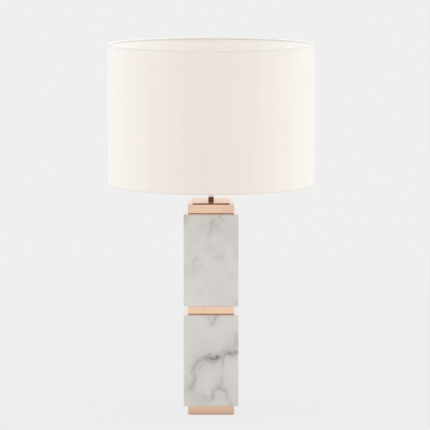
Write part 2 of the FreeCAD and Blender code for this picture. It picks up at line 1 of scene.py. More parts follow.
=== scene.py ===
import json
import math

import bpy
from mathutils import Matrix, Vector, noise


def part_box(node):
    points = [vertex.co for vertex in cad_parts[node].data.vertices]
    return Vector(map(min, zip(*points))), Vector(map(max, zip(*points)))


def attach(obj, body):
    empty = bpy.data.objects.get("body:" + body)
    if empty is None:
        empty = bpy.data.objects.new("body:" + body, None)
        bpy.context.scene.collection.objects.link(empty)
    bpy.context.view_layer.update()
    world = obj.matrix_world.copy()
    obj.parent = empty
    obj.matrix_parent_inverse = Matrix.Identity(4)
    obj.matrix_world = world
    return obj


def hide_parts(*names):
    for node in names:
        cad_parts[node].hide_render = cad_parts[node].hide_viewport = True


# The looks of a table lamp: marble blocks between copper sections, under a pale fabric drum shade.
# Metres, in the model's own frame: +Z is up and the front faces -Y.

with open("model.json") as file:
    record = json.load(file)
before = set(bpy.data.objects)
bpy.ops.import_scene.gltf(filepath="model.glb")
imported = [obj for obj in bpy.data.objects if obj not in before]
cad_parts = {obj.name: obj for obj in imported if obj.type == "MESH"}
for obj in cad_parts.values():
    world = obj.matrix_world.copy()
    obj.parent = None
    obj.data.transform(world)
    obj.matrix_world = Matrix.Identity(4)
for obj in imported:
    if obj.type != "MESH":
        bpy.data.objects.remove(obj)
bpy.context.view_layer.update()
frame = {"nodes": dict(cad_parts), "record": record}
MM = 0.001
FULL_TURN = 2 * math.pi


def rgb(red, green, blue):
    return (red, green, blue, 1.0)


# The camera. The photograph's width, its focal length and the place of the lamp's axis in it are in pixels.
PHOTO_WIDTH = 430
FOCAL_PIXELS = 2792.9
AXIS_PIXEL = 211.03
CAMERA_PLACE = Vector((0.0, -6.0164, 1.1830))
CAMERA_PITCH = math.radians(7.12)
SENSOR_WIDTH = 36.0

# The studio: a pale sweep in a light tent, which is warm and even, and stronger and cooler at its two
# sides. TENT_CHANGE_SHARE and MIRRORED_BACK_SHARE say how far a direction points sideways or back.
PALE = rgb(0.863, 0.863, 0.863)
TENT_EVEN = (0.780, 0.660, 0.603)
TENT_TILT = 0.05
TENT_LEFT = rgb(1.42, 1.88, 2.10)
TENT_RIGHT = rgb(1.38, 1.86, 2.00)
TENT_CHANGE_SHARE = 0.3
MIRRORED_BACK = rgb(0.98, 0.98, 0.98)
MIRRORED_BACK_SHARE = 0.6
FLOOR_COLOUR = rgb(0.67, 0.67, 0.67)
FLOOR_SIZE = 80.0
FLOOR_REAL_RADIUS = 1.2
FLOOR_FADE_RADIUS = 2.6
FLOOR_REAL_SHARE = 0.10
FLOOR_MIRRORED_RADIUS = 0.25
FLOOR_MIRRORED_FADE = 0.9
FLOOR_MIRRORED_SHARE = 0.73

# The shade's cloth: its thickness, its rolled edges and its gap to the liner inside the hem
CLOTH_THICKNESS = 0.5 * MM
LINER_THICKNESS = 0.4 * MM
LAP_GAP = 0.3 * MM
ROLL_DEPTH = 4.9 * MM
ROLL_RADIUS = 1.6 * MM
RIM_HEIGHT = 4.4 * MM
WALL_INSET = 0.2 * MM

# Its slack, its seam at the back and the slits for the fitter's spokes
SLACK_DEPTH = 0.12 * MM
SLACK_TURNS = 2.5
SLACK_HEIGHT = 170 * MM
SEAM_ANGLE = FULL_TURN / 4
SEAM_WIDTH = 12.0 * MM
SEAM_RISE = 0.35 * MM
SEAM_STEP = 0.3 * MM
SPOKE_COUNT = 3
SLIT_MARGIN = 0.3 * MM
SLIT_TURN = 8

# How finely it is cut into faces
SHADE_COLUMNS = 240
WALL_ROWS = 24
ROLL_STEPS = 5
HEM_POINTS = 6
SHARP_ANGLE = math.radians(40)

# How softly the dark joint lines end at their sides
SIDE_BLUR = 0.6 * MM


class Formula:
    """Writes a node tree. Each method adds nodes and gives the last one's output, so that formulas nest."""

    def __init__(self, tree, place):
        self.nodes = tree.nodes
        self.links = tree.links
        self.here = self.nodes.new("ShaderNodeTexCoord").outputs[place]

    def feed(self, socket, value):
        if isinstance(value, bpy.types.NodeSocket):
            self.links.new(value, socket)
        else:
            socket.default_value = value

    def node(self, kind, inputs, **settings):
        made = self.nodes.new(kind)
        for name, value in settings.items():
            setattr(made, name, value)
        for key, value in inputs.items():
            self.feed(made.inputs[key], value)
        return made

    def calc(self, operation, *values):
        return self.node("ShaderNodeMath", dict(enumerate(values)), operation=operation).outputs[0]

    def vector(self, operation, *values):
        made = self.node("ShaderNodeVectorMath", dict(enumerate(values)), operation=operation)
        return made.outputs["Value" if operation in ("DOT_PRODUCT", "DISTANCE") else "Vector"]

    def axes(self, place=None):
        return self.node("ShaderNodeSeparateXYZ", {0: place or self.here}).outputs

    def join(self, x, y, z):
        return self.node("ShaderNodeCombineXYZ", {0: x, 1: y, 2: z}).outputs[0]

    def stretched(self, x, y, z):
        """The place, divided by a length along each axis, for grain that is longer one way."""
        return self.vector("DIVIDE", self.here, (x, y, z))

    def noise(self, place, size, detail=3.0, output="Fac"):
        inputs = {"Vector": place, "Scale": 1 / size, "Detail": detail}
        return self.node("ShaderNodeTexNoise", inputs).outputs[output]

    def scaled(self, colour, amount):
        return self.vector("MULTIPLY", colour, self.join(amount, amount, amount))

    def ramp(self, value, low, high, start=0.0, end=1.0):
        """Goes from start to end while the value goes from low to high, and stays level outside."""
        inputs = {"Value": value, "From Min": low, "From Max": high, "To Min": start, "To Max": end}
        return self.node("ShaderNodeMapRange", inputs, interpolation_type="SMOOTHSTEP").outputs[0]

    def mix(self, share, first, second):
        return self.node("ShaderNodeMix", {0: share, 6: first, 7: second}, data_type="RGBA").outputs[2]

    def is_seen(self, *rays):
        """1 for rays of the named kinds, straight from the camera or by way of metal or glass."""
        path = self.nodes.new("ShaderNodeLightPath").outputs
        total = path[f"Is {rays[0]} Ray"]
        for ray in rays[1:]:
            total = self.calc("MAXIMUM", total, path[f"Is {ray} Ray"])
        return total

    def blend(self, share, first, second):
        """Mixes two shaders."""
        return self.node("ShaderNodeMixShader", {0: share, 1: first, 2: second}).outputs[0]


class Finish(Formula):
    """A procedural material. Lengths are in metres, in the frame of the model."""

    def __init__(self, name, **constants):
        self.material = bpy.data.materials.new(name)
        self.material.use_nodes = True
        super().__init__(self.material.node_tree, "Object")
        self.shader = self.nodes["Principled BSDF"]
        for socket, value in constants.items():
            self.put(socket.replace("_", " "), value)

    def put(self, socket, value):
        """Gives one of the shader's sockets a constant or another node's output."""
        self.feed(self.shader.inputs[socket], value)

    def relief(self, height, depth):
        """Bumps the surface by a height from 0 to 1 times a depth."""
        bump = self.node("ShaderNodeBump", {"Height": height, "Distance": depth})
        self.put("Normal", bump.outputs["Normal"])

    def spots(self, size, low, high, strength=1.0, detail=3.0):
        """Spots of noise, which rise from 0 to a strength while the noise goes from low to high."""
        return self.ramp(self.noise(self.here, size, detail), low, high, 0.0, strength)

    def uneven_gloss(self, grain, smooth, rough):
        """Roughness that follows the noise of a grain."""
        self.put("Roughness", self.ramp(grain, 0.3, 0.7, smooth, rough))

    def edge_distance(self, node):
        """How far a point on a box-shaped node lies from the nearest edge."""
        low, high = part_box(node)
        gaps = []
        for axis in range(3):
            middle = (low[axis] + high[axis]) / 2
            offset = self.calc("ABSOLUTE", self.calc("SUBTRACT", self.axes()[axis], middle))
            gaps.append(self.calc("SUBTRACT", high[axis] - middle, offset))
        nearer = self.calc("MINIMUM", gaps[0], gaps[1])
        farther = self.calc("MAXIMUM", gaps[0], gaps[1])
        return self.calc("MAXIMUM", nearer, self.calc("MINIMUM", farther, gaps[2]))

    def within(self, node):
        """1 as far to the left and right as a node reaches, and 0 beyond it."""
        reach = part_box(node)[1].x
        off_middle = self.calc("ABSOLUTE", self.axes()[0])
        return self.ramp(off_middle, reach, reach + SIDE_BLUR, 1.0, 0.0)

    def around(self):
        """The angle round the lamp's axis, in radians from +X."""
        x, y, _ = self.axes()
        return self.calc("ARCTAN2", y, x)


# Copper

COPPER = rgb(0.94, 0.66, 0.485)
COPPER_WORN = rgb(0.97, 0.74, 0.58)
# Painted reflection: the spacer's copper is painted lighter than the cap's, for the bright floor it
# mirrors, and the plinth's darker, for the shadowed floor near it.
COPPER_PAINTED_LIGHTER = rgb(0.99, 0.70, 0.495)
COPPER_PAINTED_DARKER = rgb(0.93, 0.61, 0.415)
# Painted reflection: the plate's satin face is painted lighter than the other copper.
COPPER_SATIN_PAINTED_LIGHT = rgb(1.0, 0.738, 0.545)
COPPER_GRAZED = rgb(1.0, 0.93, 0.88)
COPPER_DULL = rgb(0.86, 0.57, 0.40)
# Painted shade on the plinth's foot, where it mirrors the shadowed floor.
COPPER_FOOT_SHADE = rgb(0.71, 0.56, 0.47)
FOOT_SHADE_HEIGHT = 5.0 * MM
POLISH_DEPTH = 0.004 * MM
BRONZE = rgb(0.180, 0.068, 0.032)
BRONZE_WORN = rgb(0.30, 0.14, 0.075)
BRONZE_RIM = rgb(0.80, 0.70, 0.60)
BRONZE_RIM_HEIGHT = 1.0 * MM
PLATE_EDGE = rgb(0.16, 0.032, 0.008)
PLATE_EDGE_WORN = rgb(0.26, 0.060, 0.016)
# The cap's dark line under the plate: a dark joint, and painted shadow.
CAP_SEAM_SHADE_DEPTH = 1.1 * MM
CAP_SEAM_SHADE_BLUR = 0.3 * MM


def copper_colour(finish, edge, tone):
    """Polished copper with faint darker patches, rubbed brighter on its edges."""
    patches = finish.spots(38 * MM, 0.42, 0.75, strength=0.55)
    specks = finish.spots(1.6 * MM, 0.62, 0.80, strength=0.25, detail=4.0)
    tone = finish.mix(finish.calc("MAXIMUM", patches, specks), tone, COPPER_DULL)
    rub = finish.calc("MULTIPLY", finish.noise(finish.here, 6 * MM), 1.2 * MM)
    worn = finish.ramp(finish.calc("SUBTRACT", edge, rub), 0.0, 0.6 * MM, 0.8, 0.0)
    return finish.mix(worn, tone, COPPER_WORN)


def polishing_lines(finish):
    """Fine lines that run level round a box section."""
    x, y, z = finish.axes()
    along = finish.calc("ADD", x, y)
    grain = finish.join(finish.calc("DIVIDE", along, 40 * MM), 0.0, finish.calc("DIVIDE", z, 0.25 * MM))
    return finish.noise(grain, 1.0, 2.0)


def smudges(finish, clean, marked):
    """Roughness: clean metal with soft handling marks."""
    blots = finish.noise(finish.here, 17 * MM, 4.0)
    return finish.ramp(blots, 0.45, 0.72, clean, marked)


def cap_seam_and_shade(finish, colour):
    """Darkens the cap's upper edge at the front and back, where it meets the plate: a dark joint line, and
    painted shadow under the plate's edge.
    """
    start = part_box("cap")[1].z - CAP_SEAM_SHADE_DEPTH
    above = finish.ramp(finish.axes()[2], start, start + CAP_SEAM_SHADE_BLUR)
    seam = finish.calc("MULTIPLY", finish.within("cap_plate"), above)
    return finish.mix(seam, colour, PLATE_EDGE_WORN)


def painted_foot_shade(finish, colour):
    """Paints shade on the plinth's lowest few millimetres: the shadowed floor in front of it, as a painted
    reflection.
    """
    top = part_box("plinth")[0].z + FOOT_SHADE_HEIGHT
    share = finish.ramp(finish.axes()[2], top - 1 * MM, top + 1 * MM, 0.6, 0.0)
    return finish.mix(share, colour, COPPER_FOOT_SHADE)


def copper(node, tone, change=None):
    """Copper on one box section. change is a function that recolours it in one place."""
    finish = Finish(f"copper {node}", Metallic=1.0)
    colour = copper_colour(finish, finish.edge_distance(node), tone)
    if change:
        colour = change(finish, colour)
    finish.put("Base Color", colour)
    finish.put("Roughness", smudges(finish, clean=0.13, marked=0.24))
    finish.relief(polishing_lines(finish), POLISH_DEPTH)
    return finish.material


def cap_plate_finish():
    """Copper on the plate's face, painted lighter than the other copper as a painted reflection, and dark
    bronze on its cut edge.
    """
    finish = Finish("faced plate", Metallic=1.0, Specular_Tint=COPPER_GRAZED)
    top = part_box("cap_plate")[1].z
    face = finish.ramp(finish.axes()[2], top - 0.25 * MM, top - 0.05 * MM)
    edge = finish.edge_distance("cap_plate")
    dark = finish.mix(finish.noise(finish.here, 5 * MM), PLATE_EDGE, PLATE_EDGE_WORN)
    finish.put("Base Color", finish.mix(face, dark, copper_colour(finish, edge, COPPER_SATIN_PAINTED_LIGHT)))
    finish.put("Roughness", smudges(finish, clean=0.19, marked=0.23))
    finish.relief(polishing_lines(finish), POLISH_DEPTH)
    return finish.material


def bronze():
    """Dark bronze on the stem's foot: fine turned rings, with bare metal in specks, and pale over its top
    millimetre and above it.
    """
    finish = Finish("dark bronze", Metallic=1.0)
    rings = finish.noise(finish.stretched(20 * MM, 20 * MM, 0.3 * MM), 1.0, 3.0)
    specks = finish.spots(2.5 * MM, 0.60, 0.78, strength=0.6, detail=5.0)
    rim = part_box("stem_foot")[1].z - BRONZE_RIM_HEIGHT
    pale_top = finish.ramp(finish.axes()[2], rim - 0.3 * MM, rim + 0.3 * MM)
    finish.put("Base Color", finish.mix(pale_top, finish.mix(specks, BRONZE, BRONZE_WORN), BRONZE_RIM))
    finish.uneven_gloss(rings, smooth=0.20, rough=0.34)
    finish.relief(rings, 0.006 * MM)
    return finish.material


# Marble. A vein is a run of points. Each gives its place as shares of the block's width and height, counted
# from the middle of the front's foot, then the vein's half width there in millimetres and its darkness.

UPPER_PALE = rgb(0.732, 0.702, 0.668)
LOWER_PALE = rgb(0.704, 0.675, 0.641)
MARBLE_GREY = rgb(0.580, 0.560, 0.540)
MARBLE_EDGE = rgb(0.80, 0.79, 0.77)
VEIN_GREY = rgb(0.115, 0.105, 0.085)
# Painted shade on the marble, along its top where the copper sits on it.
JOINT_SHADE = rgb(0.38, 0.26, 0.19)
JOINT_SHADE_SHARE = 0.36
JOINT_SHADE_DEPTH = 4.6 * MM
SLANT_ACROSS = 0.62
SLANT_UP = -0.35

LOWER_VEINS = [
    [(-0.312, 0.345, 5.2, 0.34), (-0.325, 0.392, 5.8, 0.38), (-0.306, 0.432, 6.0, 0.40),
     (-0.265, 0.474, 6.0, 0.42), (-0.220, 0.507, 5.8, 0.48), (-0.160, 0.526, 5.6, 0.46),
     (-0.114, 0.532, 5.2, 0.54), (-0.075, 0.534, 5.0, 0.74), (-0.041, 0.528, 5.4, 0.62),
     (0.018, 0.521, 5.6, 0.84), (0.070, 0.530, 5.4, 0.86), (0.106, 0.536, 5.6, 1.00),
     (0.143, 0.541, 5.2, 0.66), (0.190, 0.544, 4.6, 0.48), (0.240, 0.564, 5.4, 0.42),
     (0.285, 0.584, 6.6, 0.54), (0.330, 0.588, 7.0, 0.64), (0.375, 0.578, 7.0, 0.52),
     (0.437, 0.592, 6.4, 0.54), (0.480, 0.604, 6.4, 0.48), (0.560, 0.640, 5.2, 0.36)],
    [(-0.095, 0.556, 3.2, 0.40), (-0.014, 0.574, 3.6, 0.54), (0.040, 0.556, 3.2, 0.44)],
    [(0.018, 0.522, 3.8, 0.66), (-0.014, 0.500, 3.8, 0.60), (-0.048, 0.478, 3.2, 0.30)],
    [(0.060, 0.520, 3.8, 0.66), (0.056, 0.490, 3.8, 0.44), (0.044, 0.450, 4.0, 0.14)],
    [(0.106, 0.536, 3.6, 0.56), (0.128, 0.500, 3.4, 0.26)],
    [(-0.060, 0.505, 6.0, 0.42), (0.060, 0.500, 6.0, 0.46), (0.120, 0.512, 5.0, 0.32)],
    [(-0.060, 0.550, 5.0, 0.44), (0.080, 0.558, 6.0, 0.40), (0.160, 0.572, 7.0, 0.36),
     (0.250, 0.600, 7.0, 0.32)],
    [(-0.275, 0.350, 9.0, 0.18), (-0.235, 0.420, 10.0, 0.22), (-0.160, 0.475, 9.0, 0.24),
     (-0.050, 0.485, 8.0, 0.20)],
    [(0.330, 0.620, 8.0, 0.18), (0.360, 0.740, 10.0, 0.11)],
    [(0.420, 0.650, 7.0, 0.20), (0.470, 0.700, 6.5, 0.32), (0.480, 0.790, 6.5, 0.22)],
    [(-0.312, 0.345, 5.2, 0.34), (-0.290, 0.305, 4.4, 0.38), (-0.312, 0.265, 5.6, 0.40),
     (-0.338, 0.238, 7.0, 0.40), (-0.350, 0.210, 7.6, 0.38), (-0.365, 0.182, 8.0, 0.26),
     (-0.375, 0.155, 7.0, 0.14)],
    [(-0.465, 0.325, 3.8, 0.10), (-0.405, 0.262, 4.2, 0.16)],
    [(-0.500, 0.200, 7.0, 0.16), (-0.450, 0.170, 7.0, 0.16)],
    [(0.205, 0.545, 3.6, 0.46), (0.212, 0.505, 3.8, 0.40), (0.205, 0.455, 3.8, 0.28),
     (0.200, 0.405, 3.6, 0.10)],
    [(0.194, 0.345, 3.8, 0.10), (0.192, 0.300, 4.2, 0.20), (0.186, 0.250, 4.2, 0.22),
     (0.150, 0.204, 4.2, 0.34)],
    [(0.112, 0.240, 3.2, 0.18), (0.150, 0.198, 4.0, 0.38), (0.220, 0.178, 4.0, 0.38),
     (0.252, 0.166, 3.8, 0.38), (0.274, 0.138, 3.4, 0.28), (0.296, 0.098, 3.4, 0.18),
     (0.340, 0.040, 3.4, 0.10), (0.368, 0.010, 3.8, 0.34), (0.400, -0.030, 3.8, 0.30)],
    [(0.120, 0.194, 3.8, 0.30), (0.060, 0.176, 3.8, 0.24), (0.038, 0.155, 3.8, 0.36),
     (0.030, 0.112, 4.0, 0.38), (0.020, 0.075, 3.8, 0.32), (-0.014, 0.050, 3.6, 0.18)],
    [(-0.230, 0.125, 6.0, 0.22), (-0.170, 0.110, 7.0, 0.22), (-0.070, 0.080, 8.0, 0.22)],
    [(-0.300, 0.060, 10.0, 0.15), (-0.150, 0.050, 10.0, 0.18)],
    [(0.108, 1.020, 3.6, 0.46), (0.084, 0.978, 3.8, 0.42), (0.052, 0.940, 4.0, 0.36),
     (0.018, 0.902, 4.4, 0.30), (0.000, 0.878, 4.0, 0.12)],
    [(-0.042, 0.990, 3.6, 0.18), (-0.012, 0.910, 3.8, 0.16)],
]
UPPER_VEINS = [
    [(0.165, 0.990, 3.6, 0.26), (0.150, 0.970, 3.8, 0.28), (0.125, 0.955, 3.6, 0.12)],
    [(0.205, 0.950, 3.0, 0.26), (0.218, 0.936, 3.2, 0.30)],
    [(0.040, 0.940, 5.0, 0.26), (0.015, 0.915, 5.2, 0.32), (-0.005, 0.891, 5.0, 0.36),
     (0.014, 0.864, 5.6, 0.28), (-0.008, 0.825, 5.4, 0.25), (-0.022, 0.787, 5.4, 0.20),
     (-0.025, 0.756, 5.6, 0.15), (-0.018, 0.720, 6.0, 0.06)],
    [(0.060, 0.900, 9.0, 0.20), (0.095, 0.870, 9.0, 0.20), (0.050, 0.840, 8.0, 0.12)],
    [(-0.150, 0.872, 5.4, 0.14), (-0.138, 0.858, 5.4, 0.17)],
    [(-0.050, 0.660, 10.0, 0.12), (-0.030, 0.640, 8.0, 0.16)],
    [(0.230, 0.560, 5.4, 0.13), (0.180, 0.538, 6.0, 0.14), (0.120, 0.524, 6.0, 0.14),
     (0.050, 0.530, 5.6, 0.10)],
    [(-0.275, 0.522, 5.2, 0.18), (-0.292, 0.505, 5.4, 0.24), (-0.328, 0.470, 5.6, 0.16)],
    [(-0.205, 0.456, 5.2, 0.14), (-0.186, 0.440, 5.2, 0.17)],
    [(-0.300, 0.410, 12.0, 0.16), (-0.330, 0.380, 12.0, 0.12)],
    [(-0.480, 0.440, 8.0, 0.14), (-0.455, 0.400, 9.0, 0.15)],
    [(-0.225, 0.158, 5.4, 0.09), (-0.200, 0.148, 5.4, 0.11)],
    [(-0.490, 0.990, 5.0, 0.22), (-0.475, 0.940, 5.5, 0.20), (-0.470, 0.890, 5.0, 0.10)],
    [(0.470, 0.600, 6.0, 0.15), (0.478, 0.560, 6.0, 0.15)],
    [(0.480, 0.040, 4.0, 0.16), (0.470, 0.010, 4.0, 0.16)],
    [(0.200, 0.240, 14.0, 0.07), (0.160, 0.200, 14.0, 0.07)],
]

# How a vein's line frays: sizes of noise, each with how far it pushes the line
FRAYS = ((36 * MM, 6 * MM), (10 * MM, 3.0 * MM), (3.0 * MM, 1.2 * MM))

# Wilder veins, which start behind the front: their sheets' slope, how far apart these are, and how dark.
# The widths of a vein's core and halo are shares of the distance between two sheets.
STRAY_VEINS = [
    ((0.52, 0.30, 0.80), 92 * MM, 0.85),
    ((-0.38, 0.62, 0.69), 128 * MM, 0.70),
    ((0.85, -0.45, 0.28), 150 * MM, 0.45),
]
STRAY_START = 3 * MM
STRAY_FULL = 40 * MM
STRAY_BEND = 1.6
STRAY_CORE = 0.028
STRAY_HALO = 0.16
STRAY_HALO_DARKNESS = 0.30
STRAY_SEED_STEP = 0.37


def vein_segment(finish, place, start, end):
    """The darkness of a vein between two of its points, which fades away softly to both sides. It is all
    plain arithmetic, because a clamped node in each of many segments takes more room than a shader has."""
    first = Vector((start[0], 0.0, start[1]))
    along = Vector((end[0], 0.0, end[1])) - first
    rate = 1 / along.length_squared
    projected = finish.vector("DOT_PRODUCT", place, along)
    share = finish.calc("MULTIPLY_ADD", projected, rate, -along.dot(first) * rate)
    share = finish.calc("MINIMUM", finish.calc("MAXIMUM", share, 0.0), 1.0)
    nearest = finish.vector("MULTIPLY_ADD", finish.join(share, share, share), along, first)
    width = finish.calc("MULTIPLY_ADD", share, end[2] - start[2], start[2])
    darkness = finish.calc("MULTIPLY_ADD", share, end[3] - start[3], start[3])
    off = finish.calc("DIVIDE", finish.vector("DISTANCE", place, nearest), width)
    return finish.calc("DIVIDE", darkness, finish.calc("MULTIPLY_ADD", off, off, 1.0))


def ragged(finish, place):
    """The place, pushed about by noise of several sizes, so that a line through it frays."""
    for size, reach in FRAYS:
        push = finish.vector("SUBTRACT", finish.noise(finish.here, size, 2.0, "Color"), (0.5, 0.5, 0.5))
        place = finish.vector("MULTIPLY_ADD", push, (reach, 0.0, reach), place)
    return place


def chosen_veins(finish, place, width, height, veins):
    """The darkest of the named veins at a place on the block's front."""
    chosen = 0.0
    for shares in veins:
        points = []
        for across, up, half_width, darkness in shares:
            points.append((across * width, up * height, half_width * MM, darkness))
        for start, end in zip(points, points[1:]):
            chosen = finish.calc("MAXIMUM", chosen, vein_segment(finish, place, start, end))
    return chosen


def stray_vein(finish, slope, spacing, darkness, seed):
    """Veins along bent sheets of the stone, which come and go."""
    normal = Vector(slope).normalized()
    moved = finish.vector("ADD", finish.here, (seed, 2 * seed, 0.0))
    bend = finish.noise(moved, 75 * MM, 4.0)
    sheet = finish.calc("DIVIDE", finish.vector("DOT_PRODUCT", moved, normal), spacing)
    phase = finish.calc("MULTIPLY_ADD", bend, STRAY_BEND, sheet)
    off = finish.calc("ABSOLUTE", finish.calc("SUBTRACT", finish.calc("FRACT", phase), 0.5))
    core = finish.ramp(off, 0.0, STRAY_CORE, 1.0, 0.0)
    halo = finish.ramp(off, 0.0, STRAY_HALO, STRAY_HALO_DARKNESS, 0.0)
    present = finish.ramp(finish.noise(moved, 58 * MM, 2.0), 0.42, 0.62, 0.0, darkness)
    return finish.calc("MULTIPLY", finish.calc("MAXIMUM", core, halo), present)


def stray_veins(finish, depth, seed):
    """The darkest of the wilder veins, which come up behind the front."""
    stray = 0.0
    for i, (slope, spacing, darkness) in enumerate(STRAY_VEINS):
        vein = stray_vein(finish, slope, spacing, darkness, seed + STRAY_SEED_STEP * i)
        stray = finish.calc("MAXIMUM", stray, vein)
    return finish.calc("MULTIPLY", stray, finish.ramp(depth, STRAY_START, STRAY_FULL))


def marble_darkness(finish, low, high, veins):
    """The chosen veins, which slant back through the block, and behind the front the stray ones."""
    x, y, z = finish.axes()
    depth = finish.calc("SUBTRACT", y, low.y)
    across = finish.calc("SUBTRACT", x, finish.calc("MULTIPLY", depth, SLANT_ACROSS))
    rise = finish.calc("SUBTRACT", z, low.z)
    up = finish.calc("SUBTRACT", rise, finish.calc("MULTIPLY", depth, SLANT_UP))
    place = ragged(finish, finish.join(across, 0.0, up))
    chosen = chosen_veins(finish, place, high.x - low.x, high.z - low.z, veins)
    stray = stray_veins(finish, depth, low.z)
    speckled = finish.ramp(finish.noise(finish.here, 5.5 * MM, 3.0), 0.32, 0.64, 0.78, 1.16)
    stray = finish.calc("MULTIPLY", stray, speckled)
    chosen = finish.calc("MULTIPLY", chosen, speckled)
    return finish.calc("MINIMUM", finish.calc("MAXIMUM", chosen, stray), 1.0)


def joint_shade_line(finish, high):
    """Where painted shade falls under the copper: 1 at the top of a block's front and back, as far as the
    copper above it reaches.
    """
    _, y, z = finish.axes()
    outside = finish.ramp(finish.calc("ABSOLUTE", y), high.y - 0.6 * MM, high.y - 0.2 * MM)
    below = finish.ramp(z, high.z - JOINT_SHADE_DEPTH, high.z)
    return finish.calc("MULTIPLY", finish.calc("MULTIPLY", finish.within("spacer"), outside), below)


def marble(node, pale, veins):
    """White marble with a high polish: soft grey clouds under grey veins, and painted shade at its top
    under the copper.
    """
    finish = Finish(f"marble {node}", Coat_Weight=1.0, Coat_Roughness=0.03, Coat_IOR=1.6)
    low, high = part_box(node)
    dark = marble_darkness(finish, low, high, veins)
    drawn_out = finish.noise(finish.stretched(1.0, 1.0, 1.4), 52 * MM, 2.0)
    clouds = finish.ramp(drawn_out, 0.36, 0.74, 0.0, 0.42)
    mottle = finish.spots(7 * MM, 0.35, 0.70, strength=0.16)
    grain = finish.noise(finish.here, 0.8 * MM, 2.0)
    tone = finish.mix(finish.calc("MAXIMUM", clouds, mottle), pale, MARBLE_GREY)
    tone = finish.mix(finish.ramp(grain, 0.35, 0.65, 0.0, 0.05), tone, MARBLE_GREY)
    tone = finish.mix(dark, tone, VEIN_GREY)
    # Painted shade along the joint under the copper above.
    joint_shaded = finish.calc("MULTIPLY", joint_shade_line(finish, high), JOINT_SHADE_SHARE)
    tone = finish.mix(joint_shaded, tone, JOINT_SHADE)
    rubbed = finish.ramp(finish.edge_distance(node), 0.2 * MM, 0.9 * MM, 0.2, 0.0)
    finish.put("Base Color", finish.mix(rubbed, tone, MARBLE_EDGE))
    finish.uneven_gloss(finish.noise(finish.here, 12 * MM, 4.0), smooth=0.08, rough=0.14)
    finish.relief(grain, 0.003 * MM)
    return finish.material


# Cloth, liner and coated wire

CLOTH_PALE = rgb(0.925, 0.852, 0.796)
CLOTH_DEEP = rgb(0.912, 0.837, 0.776)
# Painted shade in the hollows of the weave.
CLOTH_HOLLOW_SHADE = rgb(0.76, 0.68, 0.60)
CLOTH_SLUB = rgb(0.84, 0.765, 0.69)
# Painted shade along the shade's rims, more on the upper rim than the lower.
CLOTH_RIM_SHADE = rgb(0.790, 0.758, 0.728)
# Painted light: the cloth is painted paler where it is turned in, to lift the roll's shaded inner side.
CLOTH_TURNED_IN_LIT = rgb(0.925, 0.872, 0.830)
UPPER_RIM_SHADE = 0.55
LOWER_RIM_SHADE = 0.24
THREAD_WIDTH = 0.62 * MM
SLUB_WIDTH = 0.9 * MM
LINER_PALE = rgb(0.945, 0.908, 0.870)
LINER_DEEP = rgb(0.935, 0.895, 0.854)
LINER_SEAM = rgb(0.62, 0.57, 0.50)
LINER_SEAM_CORE = 0.0008
LINER_SEAM_EDGE = 0.0026
WIRE_COAT = rgb(0.83, 0.825, 0.80)
WIRE_DUST = rgb(0.60, 0.58, 0.54)


def weave_height(finish, along, height):
    """A plain weave: upright and level threads, which go over each other by turns."""
    warp = finish.calc("SINE", finish.calc("MULTIPLY", along, math.pi / THREAD_WIDTH))
    weft = finish.calc("SINE", finish.calc("MULTIPLY", height, math.pi / THREAD_WIDTH))
    over = finish.ramp(finish.calc("MULTIPLY", warp, weft), -0.25, 0.25)
    under = finish.calc("SUBTRACT", 1.0, over)
    lifted = finish.calc("MULTIPLY", finish.calc("ABSOLUTE", warp), over)
    sunk = finish.calc("MULTIPLY", finish.calc("ABSOLUTE", weft), under)
    return finish.calc("ADD", lifted, sunk)


def drawn_noise(finish, flat, width, height):
    """Noise on the cloth as it lies flat, drawn out to a width and a height."""
    return finish.noise(finish.vector("DIVIDE", flat, (width, height, 1.0)), 1.0, 2.0)


def thick_threads(finish, flat):
    """1 on the few thicker threads, upright or level."""
    upright = finish.ramp(drawn_noise(finish, flat, SLUB_WIDTH, 60 * MM), 0.60, 0.78)
    level = finish.ramp(drawn_noise(finish, flat, 45 * MM, SLUB_WIDTH), 0.62, 0.80)
    return finish.calc("MAXIMUM", upright, level)


def rim_shade_share(finish, height):
    """How much painted shade a height takes along the rims: the upper rim has more of it than the lower
    one.
    """
    low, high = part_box("shade_fabric")
    middle = (low.z + high.z) / 2
    off_middle = finish.calc("ABSOLUTE", finish.calc("SUBTRACT", height, middle))
    from_rim = finish.calc("SUBTRACT", high.z - middle, off_middle)
    rim = finish.ramp(from_rim, RIM_HEIGHT - 0.4 * MM, RIM_HEIGHT + 0.4 * MM, 1.0, 0.0)
    share = finish.ramp(height, middle - 1 * MM, middle + 1 * MM, LOWER_RIM_SHADE, UPPER_RIM_SHADE)
    return finish.calc("MULTIPLY", rim, share)


def turned_in(finish):
    """1 from the middle of the rims' roll inwards."""
    x, y, _ = finish.axes()
    from_axis = finish.vector("DISTANCE", finish.join(x, y, 0.0), (0.0, 0.0, 0.0))
    roll_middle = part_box("shade_fabric")[1].x - ROLL_DEPTH / 2
    return finish.ramp(from_axis, roll_middle - 0.8 * MM, roll_middle + 0.2 * MM, 1.0, 0.0)


